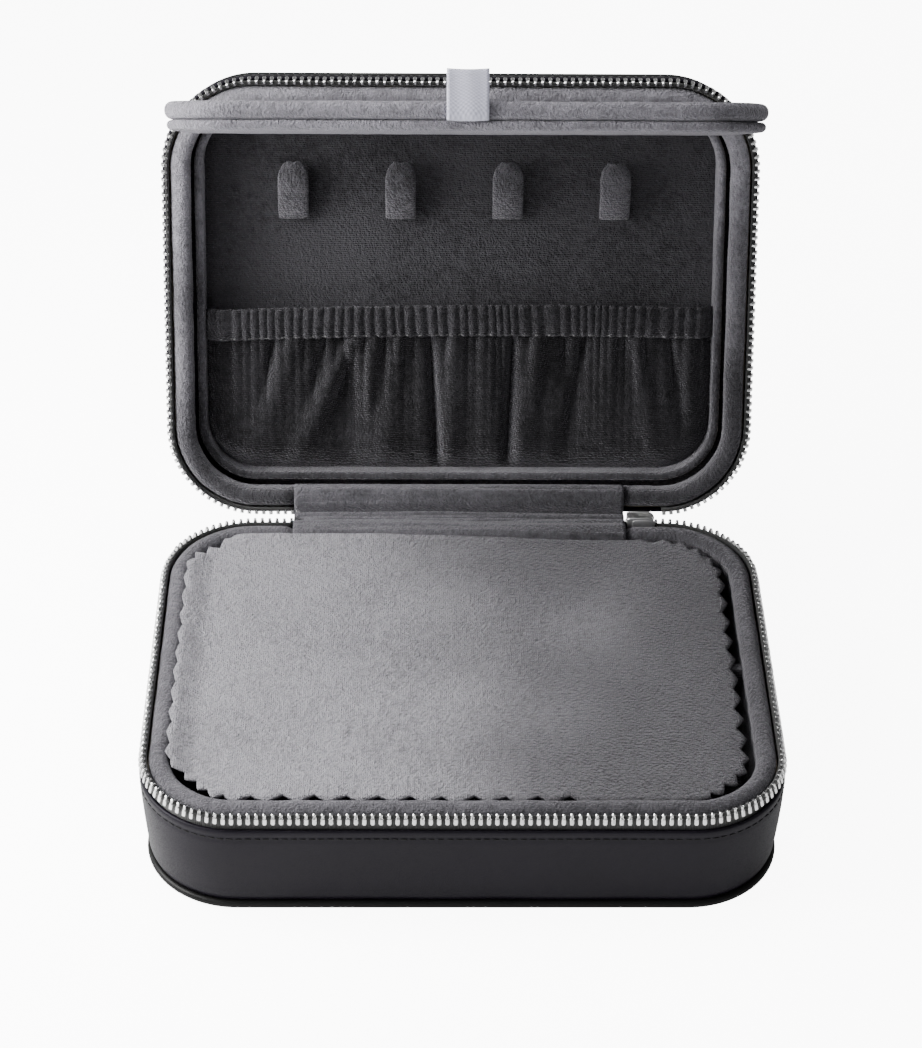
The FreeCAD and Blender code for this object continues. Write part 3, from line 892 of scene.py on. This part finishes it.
def buildPocket():
    half, columns = pocketShape["halfX"], 420

    def bandPoint(x, t):
        end = max(0.0, (abs(x) - half + 5 * mm) / (5 * mm))
        slant = 2.4 * mm * t * noise.noise(Vector((x * 30, 8.8, 0)))
        rib = gatherLines(x + slant) * 0.55 * mm * (1 - end) * (0.55 + 0.45 * abs(2 * t - 1))
        puff = 1.3 * mm * math.sin(math.pi * t) ** 0.55
        bow = pocketShape["bow"] * ((x / half) ** 2 - 0.5)
        y = pocketShape["mouthY"] + pocketShape["band"] * t + bow - 0.6 * mm * x / half
        return Vector((x, y, pocketShape["faceZ"] + 0.9 * mm - puff + rib + 4.0 * mm * end ** 2))

    def clothPoint(x, t):
        y0 = bandPoint(x, 1.0).y
        endY = pocketShape["endY"]
        corner = abs(x) - (half - pocketShape["corner"])
        if corner > 0:
            endY -= pocketShape["corner"] - math.sqrt(max(pocketShape["corner"] ** 2 - corner ** 2, 0))
        y = y0 + (endY - y0) * t
        tight = math.exp(-t * 2.6)
        loose = noise.noise(Vector((x * 34 + t * 1.6, t * 2.4, 9.0))) * 1.8 * mm
        loose *= math.sin(math.pi * min(t * 1.15, 1))
        narrow = noise.noise(Vector((x * 120, t * 2.2, 2.0))) * 0.8 * mm * (0.12 + 0.88 * tight)
        rib = gatherLines(x) * 0.4 * mm * tight
        for top, drift, wide, deep, reach in pocketFolds:
            spread = wide * mm * (0.55 + 0.6 * t)
            hold = max(0.0, 1 - t / reach) ** 0.5 if t < reach else 0.0
            loose += deep * mm * hold * math.exp(-((x - top * mm - drift * mm * t) / spread) ** 2)
        side = max(0.0, (abs(x) - half + 7 * mm) / (7 * mm))
        tuck = (max(0.0, (t - 0.8) / 0.2)) ** 2
        fold = (rib + loose + narrow) * (1 - tuck)
        middle = pocketShape["faceZ"] + (2.5 - 0.7 * math.sin(math.pi * t)) * mm
        behind, before = pocketShape["liningZ"] - 1.5 * mm - middle, middle - pocketShape["faceZ"] + 1.0 * mm
        room = behind if fold > 0 else before
        z = middle + room * math.tanh(fold / room)
        return Vector((x, y, z + 4.6 * mm * max(side ** 2, tuck)))

    nodes = (("pocket_band",), ("pocket_pouch", "pocket_bottom_seam"))
    for name, point, rows, material, replaced in (("pocketBand", bandPoint, 10, bandVelvet, nodes[0]),
                                                  ("pocketPouch", clothPoint, 54, pouchVelvet, nodes[1])):
        points = [point(-half + 2 * half * c / columns, r / rows)
                  for r in range(rows + 1) for c in range(columns + 1)]
        piece = addPiece(name, points, gridFaces(rows, columns), material, closed=False)
        moveMesh(piece, openLid)
        thicken(piece, 0.9 * mm)
        finishPiece(piece, "lid", "velvet", *replaced)
    thread = stitchUnit(0.2 * mm, 1.5 * mm)
    reach, steps = half - 5 * mm, 260
    across = [-reach + (2 * half - 10 * mm) * i / steps for i in range(steps + 1)]
    seam = [bandPoint(x, 1.0) - Vector((0, 0.3 * mm, 0.55 * mm)) for x in across]
    row = repeatAlong("pocketStitches", seam, thread, 2.1 * mm, 0.15, paleThread)
    moveMesh(row, openLid)
    finishPiece(row, "lid", "velvet")
    bpy.data.objects.remove(thread)


hookShape = dict(width=8.4 * mm, height=15.6 * mm, topY=-37.0 * mm, standOff=4.6 * mm, thick=2.6 * mm,
                 spacing=30.2 * mm, shift=-1.7 * mm)


def buildHooks():
    rows, columns = 20, 8
    for i in range(4):
        x = hookShape["shift"] + (i - 1.5) * hookShape["spacing"]
        points = []
        for r in range(rows + 1):
            t = r / rows
            y = hookShape["topY"] + hookShape["height"] * (1 - t)
            stand = hookShape["standOff"] * (0.22 + 0.78 * math.sin(math.pi * min(t * 0.8, 0.5)))
            z = pocketShape["liningZ"] - 1.0 * mm - stand + 1.6 * mm * max(0.0, (t - 0.75) / 0.25) ** 2
            narrow = 1.0 if t < 0.72 else math.sqrt(max(1 - ((t - 0.72) / 0.285) ** 2, 0.03))
            for c in range(columns + 1):
                across = (c / columns - 0.5)
                bend = 0.9 * mm * (2 * across) ** 2
                bend += 0.25 * mm * noise.noise(Vector((i * 3.0, t * 3, across)))
                points.append(Vector((x + hookShape["width"] * across * narrow, y, z + bend)))
        number = str(i + 1)
        hook = addPiece("necklaceHook" + number, points, gridFaces(rows, columns), hookVelvet, closed=False)
        moveMesh(hook, openLid)
        thicken(hook, hookShape["thick"], levels=1)
        finishPiece(hook, "lid", "velvet", "necklace_hook_" + number)


buildPocket()
buildHooks()
print("pocket and hooks made")


# The mirror flap, drawn folded into the shut lid

flapBoxes = dict(width=147.0 * mm, startY=-53.45 * mm, length=104.0 * mm, faceZ=33.65 * mm, front=4.4 * mm,
                 back=2.6 * mm, corner=16.5 * mm, border=9.0 * mm)


def roundedOutline(steps=10):
    radius = flapBoxes["corner"]
    x = flapBoxes["width"] / 2 - radius
    y0 = flapBoxes["startY"] + radius
    y1 = flapBoxes["startY"] + flapBoxes["length"] - radius
    points = []
    for cx, cy, angle in ((x, y1, 90), (x, y0, 0), (-x, y0, -90), (-x, y1, 180)):
        points += arcPoints(cx, cy, radius, angle, angle - 90, steps)
    dense = []
    for (x0, z0), (x1, z1) in zip(points, points[1:] + points[:1]):
        pieces = max(1, int(math.dist((x0, z0), (x1, z1)) / (3 * mm)))
        dense += [(x0 + (x1 - x0) * k / pieces, z0 + (z1 - z0) * k / pieces) for k in range(pieces)]
    return dense


def flapLayer(name, inset, z0, z1, radius, material, hollow=None):
    # a velvet-covered board with softly rounded edges; hollow is the inset of the mirror's window
    bends = [(radius * (1 - math.cos(math.radians(18 * k))), radius * (1 - math.sin(math.radians(18 * k))))
             for k in range(6)]
    levels = [(inset + away, z0 + lift) for away, lift in reversed(bends)]
    levels += [(inset + away, z1 - lift) for away, lift in bends]
    flat = 6 * mm
    if hollow:
        window = ((0.4, 1.4), (0.0, 0.8), (-0.6, 0.15), (-2.0, -0.05))
        levels = [(hollow + away * mm, z0 + lift * mm) for away, lift in window] + levels
    else:
        levels = [(inset + flat, z0)] + levels
    levels.append((inset + flat, z1))
    outline = roundedOutline()
    middle = Vector((0, flapBoxes["startY"] + flapBoxes["length"] / 2, 0))
    half = Vector((flapBoxes["width"] / 2, flapBoxes["length"] / 2, 0))
    points = []
    for amount, z in levels:
        share = Vector(((half.x - amount) / half.x, (half.y - amount) / half.y, 1))
        for x, y in outline:
            spot = middle + (Vector((x, y, 0)) - middle) * share
            soft = noise.noise(Vector((spot.x, spot.y, z)) * 130) * 0.14 * mm
            points.append((spot.x, spot.y, z + soft))
    faces = cappedFaces(len(levels), len(outline))
    piece = addPiece(name, points, faces, material)
    moveMesh(piece, raiseFlap)
    return piece


def buildFlap():
    z0 = flapBoxes["faceZ"]
    z1 = z0 + flapBoxes["front"]
    front = flapLayer("flapFront", 0.0, z0, z1, 2.0 * mm, flapVelvet, flapBoxes["border"])
    finishPiece(front, "mirror_flap", "velvet", "flap_front_layer")
    back = flapLayer("flapBack", 0.5 * mm, z1 + 0.1 * mm, z1 + flapBoxes["back"], 1.25 * mm, flapVelvet)
    finishPiece(back, "mirror_flap", "velvet", "flap_back_layer")
    endY = flapBoxes["startY"] + flapBoxes["length"]
    side = [(-0.4, 0.0), (0.5, -0.5), (1.3, -3.0), (1.5, -7.0), (1.1, -11.2), (0.6, -12.0), (0.15, -11.3),
            (0.1, -8.0), (0.2, -3.0), (-0.1, -0.6)]
    route = smoothRoute([(endY + y * mm, z1 + z * mm) for y, z in side], 5)

    def ribbonWave(x, t):
        return (0.12 * mm * math.sin(x * 900 + t * 3), 0.25 * mm * math.cos(x * 300))

    points, faces = stripGrid(route, 5.05 * mm, 12, ripple=ribbonWave)
    ribbon = addPiece("flapRibbon", points, faces, ribbonSatin, closed=False)
    moveMesh(ribbon, raiseFlap)
    thicken(ribbon, 0.28 * mm)
    finishPiece(ribbon, "mirror_flap", "ribbon", "flap_ribbon_tab")


def flapSide(y, z):
    spot = raiseFlap @ Vector((0, y * mm, z * mm))
    return (spot.y, spot.z)


def buildFlapHinge():
    # the velvet that joins the flap's end to the lid's rim, folded at the flap's axis
    axisY, axisZ = flapAxis.y / mm, flapAxis.z / mm
    route = [lidSide(axisY - 0.55, axisZ + 4.6), lidSide(axisY - 0.5, axisZ + 2.2),
             lidSide(axisY - 0.35, axisZ + 0.6), lidSide(axisY, axisZ - 0.3),
             flapSide(axisY + 0.1, axisZ + 0.9), flapSide(axisY + 0.25, axisZ + 2.6),
             flapSide(axisY + 0.25, axisZ + 4.4)]

    def foldWave(x, t):
        return (0.1 * mm * noise.noise(Vector((x * 90, t * 4, 6))), 0.0)

    points, faces = stripGrid(smoothRoute(route, 5), 54 * mm, 60, ripple=foldWave)
    strip = addPiece("flapHingeVelvet", points, faces, flapVelvet, closed=False)
    thicken(strip, 0.45 * mm)
    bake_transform(strip)


buildFlap()
buildFlapHinge()
print("flap made")


# Cover cloth with pinked edges, rolls and dividers

clothShape = dict(inset=8.5 * mm, z=30.9 * mm, shiftX=-1.4 * mm, shiftY=-0.2 * mm, pitch=7.2 * mm,
                  bite=2.6 * mm, edgeRings=9, ringGap=1.6 * mm, innerRings=20)


def pinked(along):
    share = (along / clothShape["pitch"]) % 1.0
    return (1 - abs(2 * share - 1)) ** 0.85


def biteShare(place):
    # the back edge is a straight selvedge, and the front right is hardly pinked
    if place.y > halfDepth - 2 * mm:
        return min(max((abs(place.x + 8 * mm) - 56 * mm) / (5 * mm), 0.0), 1.0)
    if place.y < -halfDepth + 2 * mm:
        return 1.0 - 0.8 * min(max((place.x - 30 * mm) / (8 * mm), 0.0), 1.0)
    if place.x < -halfWidth + 2 * mm:
        return 0.5
    return 1.0


def clothHeight(x, y):
    # lies level in the well, climbs on to the rim at the left and the back left, and dips along the front
    innerX, innerY = halfWidth - rimShape["inside"], halfDepth - rimShape["inside"]
    left = min(max((-x - innerX + 6 * mm) / (6 * mm), 0), 1.2)
    back = min(max((y - innerY + 5 * mm) / (5 * mm), 0), 1.2) * min(max((40 * mm - x) / (60 * mm), 0), 1)
    front = min(max((-y - innerY + 9 * mm) / (9 * mm), 0), 1) * min(max((x + 64 * mm) / (30 * mm), 0.15), 1)
    right = min(max((x - innerX + 9 * mm) / (9 * mm), 0), 1)
    place = Vector((x, y, 0.4))
    rolling = noise.noise(place * 20) * 0.55 * mm + noise.noise(place * 55) * 0.25 * mm
    curl = noise.noise(Vector((x * 110, y * 110, 8))) * 0.45 * mm * max(left, back, front, right)
    return clothShape["z"] + rolling + curl + 2.3 * mm * max(left, back) - 0.5 * mm * front - 0.8 * mm * right


def buildCloth():
    notches = round(planLength * 0.9 / clothShape["pitch"])
    count = notches * 6
    flatPoints = []
    for ring in range(clothShape["edgeRings"]):
        share = max(0.0, 1 - ring / 4) ** 1.3
        for i in range(count):
            along = planLength * i / count
            place, out = planPlace(along)
            uneven = 0.8 + 0.35 * noise.noise(Vector((along * 60, 2, 5)))
            bite = clothShape["bite"] * uneven * biteShare(place)
            corner = Vector((-halfWidth + 8 * mm, -halfDepth + 8 * mm, 0))
            pulled = 2.6 * mm * math.exp(-((place - corner).length / (11 * mm)) ** 2) * share
            notch = share * bite * (1 - pinked(i / 6 * clothShape["pitch"]))
            inset = clothShape["inset"] + ring * clothShape["ringGap"] + notch + pulled
            flatPoints.append(place - out * inset)
    last = flatPoints[-count:]
    for ring in range(1, clothShape["innerRings"]):
        flatPoints += [spot * (1 - ring / clothShape["innerRings"]) for spot in last]
    flatPoints.append(Vector((0, 0, 0)))
    points = []
    for spot in flatPoints:
        x, y = spot.x + clothShape["shiftX"], spot.y + clothShape["shiftY"]
        points.append((x, y, clothHeight(x, y)))
    rings = clothShape["edgeRings"] + clothShape["innerRings"] - 1
    inmost = (rings - 1) * count
    faces = ringFaces(rings, count)
    faces += [(inmost + i, inmost + (i + 1) % count, len(points) - 1) for i in range(count)]
    cloth = addPiece("coverCloth", points, faces, coverVelvet, closed=False)
    thicken(cloth, 0.9 * mm)
    finishPiece(cloth, "cover", "cover_velvet", "cover_cloth")


def paddedBar(name, node, material, body, slotName, swell):
    low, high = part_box(node)
    low, high = Vector(low), Vector(high)
    work = bmesh.new()
    bmesh.ops.create_cube(work, size=1.0)
    bmesh.ops.subdivide_edges(work, edges=work.edges, cuts=7, use_grid_fill=True)
    size, middle = high - low, (low + high) / 2
    reach = min(size.y, size.z) * 0.42
    for vert in work.verts:
        spot = Vector((vert.co.x * size.x, vert.co.y * size.y, vert.co.z * size.z))
        inner = Vector([max(-s / 2 + reach, min(s / 2 - reach, v)) if s > 2 * reach else 0
                        for v, s in zip(spot, size)])
        away = spot - inner
        if away.length > 1e-9:
            spot = inner + away.normalized() * min(away.length, reach)
        vert.co = middle + spot * (1 + swell * noise.noise(spot * 200))
    mesh = bpy.data.meshes.new(name)
    work.to_mesh(mesh)
    work.free()
    piece = linkPiece(name, mesh)
    fine = piece.modifiers.new("smooth", "SUBSURF")
    fine.levels = fine.render_levels = 1
    applyModifiers(piece)
    dressMesh(piece, material)
    finishPiece(piece, body, slotName, node)
    return piece


sliderShape = dict(bevel=0.2 * mm, plate=0.5 * mm, roundSteps=10)


def plateSolid(name, outline, y0, y1, bevel):
    # a plate from a closed outline of (x, z) points, with eased edges
    count = len(outline)
    points = [(x, y, z) for y in (y0, y1) for x, z in outline]
    faces = [tuple(range(count)), tuple(reversed(range(count, 2 * count)))]
    faces += [(i, count + i, count + (i + 1) % count, (i + 1) % count) for i in range(count)]
    piece = addPiece(name, points, faces, sliderMetal)
    ease = piece.modifiers.new("ease", "BEVEL")
    ease.width = bevel
    ease.segments = 3
    ease.limit_method = "ANGLE"
    ease.angle_limit = math.radians(50)
    applyModifiers(piece)
    return dressMesh(piece, sliderMetal)


def joinPieces(name, pieces, material):
    work = bmesh.new()
    for piece in pieces:
        work.from_mesh(piece.data)
        bpy.data.objects.remove(piece)
    mesh = bpy.data.meshes.new(name)
    work.to_mesh(mesh)
    work.free()
    return dressMesh(linkPiece(name, mesh), material)


def buildSlider():
    low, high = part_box("slider_body")
    x0, x1, z0, z1 = low[0], high[0], low[2], high[2]
    radius = (z1 - z0) / 2
    middle = (z0 + z1) / 2
    plateOutline = [(x0, z0 + 0.5 * mm), (x0 + 0.9 * mm, z0)]
    plateOutline += arcPoints(x1 - radius, middle, radius, -90, 90, sliderShape["roundSteps"])
    plateOutline += [(x0 + 0.9 * mm, z1), (x0, z1 - 0.5 * mm)]
    thick = sliderShape["plate"]
    plates = [plateSolid("sliderPlate", plateOutline, y, y + thick, sliderShape["bevel"])
              for y in (low[1], high[1] - thick)]
    inner = [(x1 - radius + (x - x1 + radius) * 0.72, middle + (z - middle) * 0.66) for x, z in plateOutline]
    plates.append(plateSolid("sliderBoss", inner, low[1] - 0.18 * mm, low[1] + 0.1 * mm, 0.08 * mm))
    postOutline = [(x0, partingZ + 0.15 * mm), (x0 + 1.0 * mm, partingZ + 0.15 * mm),
                   (x0 + 1.6 * mm, z1 - 0.1 * mm), (x0, z1 - 0.1 * mm)]
    plates.append(plateSolid("sliderPost", postOutline, low[1] + 0.3 * mm, high[1] - 0.3 * mm, 0.1 * mm))
    finishPiece(joinPieces("sliderBody", plates, sliderMetal), "zip_slider", "slider_metal", "slider_body")


buildSlider()
buildCloth()
for number in range(1, 7):
    paddedBar("ringRoll%d" % number, "ring_roll_%d" % number, liningVelvet, "base", "roll_foam", 0.004)
print("cloth and rolls made")


# CAD pieces that keep their shape

keptNodes = dict(
    base_bottom_board=greyBoard, lid_top_board=greyBoard,
    base_lining_floor=liningVelvet, base_lining_wall=liningVelvet,
    divider_across=liningVelvet, divider_short=liningVelvet,
    mirror_glass=mirrorSilver, slider_bail=sliderMetal, pull_tab=sliderMetal,
    zip_end_stop_base=toothMetal, zip_end_stop_lid=toothMetal)
for node, material in keptNodes.items():
    piece = frame["nodes"][node]
    piece.data.materials.clear()
    piece.data.materials.append(material)


# Floor, light and camera

stageLook = dict(floor=7.0, level=-0.2 * mm, floorShade=0.9, floorGlow=9.0, floorBounce=0.25, world=0.22)
cameraPlace = dict(spot=(-0.0112, -0.5662, 0.5041), aim=(0.0149, 0.7984, -0.6020), roll=0.775, lens=94.9,
                   sensor=36.0)


def addLight(name, place, target, size, power, color):
    light = bpy.data.lights.new(name, "AREA")
    light.shape = "RECTANGLE"
    light.size, light.size_y = size
    light.energy = power
    light.color = color
    lamp = linkPiece(name, light)
    lamp.location = place
    lamp.rotation_euler = (Vector(target) - Vector(place)).to_track_quat("-Z", "Y").to_euler()


def buildStage():
    half = stageLook["floor"]
    level = stageLook["level"]
    floorPoints = [(-half, -half, level), (half, -half, level), (half, half, level), (-half, half, level)]
    material, nodes, links, shader = newMaterial("paperFloor")
    setInputs(shader, Base_Color=(stageLook["floorShade"],) * 3 + (1,), Roughness=0.9,
              Emission_Color=(1, 1, 1, 1))
    path = nodes.new("ShaderNodeLightPath")
    strengths = (stageLook["floorBounce"], stageLook["floorGlow"])
    glow = rangeNode(material.node_tree, path.outputs["Is Camera Ray"], toRange=strengths)
    links.new(glow, shader.inputs["Emission Strength"])
    addPiece("floor", floorPoints, [(0, 1, 2, 3)], material, smooth=False, closed=False)
    world = bpy.data.worlds.new("studio")
    bpy.context.scene.world = world
    world.use_nodes = True
    background = world.node_tree.nodes["Background"]
    background.inputs[0].default_value = (1, 1, 1, 1)
    background.inputs[1].default_value = stageLook["world"]
    addLight("windowLight", (-0.36, -0.03, 0.27), (0, 0.02, 0.05), (0.3, 0.3), 5.0, (1, 0.995, 0.98))
    addLight("topLight", (-0.15, 0.2, 1.1), (0, 0.02, 0.04), (0.6, 0.5), 8.0, (1, 1, 1))
    addLight("frontLight", (-0.5, -1.0, 0.6), (0, 0, 0.08), (0.6, 0.4), 3.0, (0.97, 0.98, 1))


def buildCamera():
    data = bpy.data.cameras.new("camera")
    data.lens = cameraPlace["lens"]
    data.sensor_width = cameraPlace["sensor"]
    data.sensor_fit = "AUTO"
    camera = linkPiece("camera", data)
    aim = Vector(cameraPlace["aim"])
    turn = aim.to_track_quat("-Z", "Y").to_matrix().to_4x4()
    roll = Matrix.Rotation(math.radians(cameraPlace["roll"]), 4, "Z")
    camera.matrix_world = Matrix.Translation(cameraPlace["spot"]) @ turn @ roll
    bpy.context.scene.camera = camera


buildStage()
buildCamera()
print("stage made")
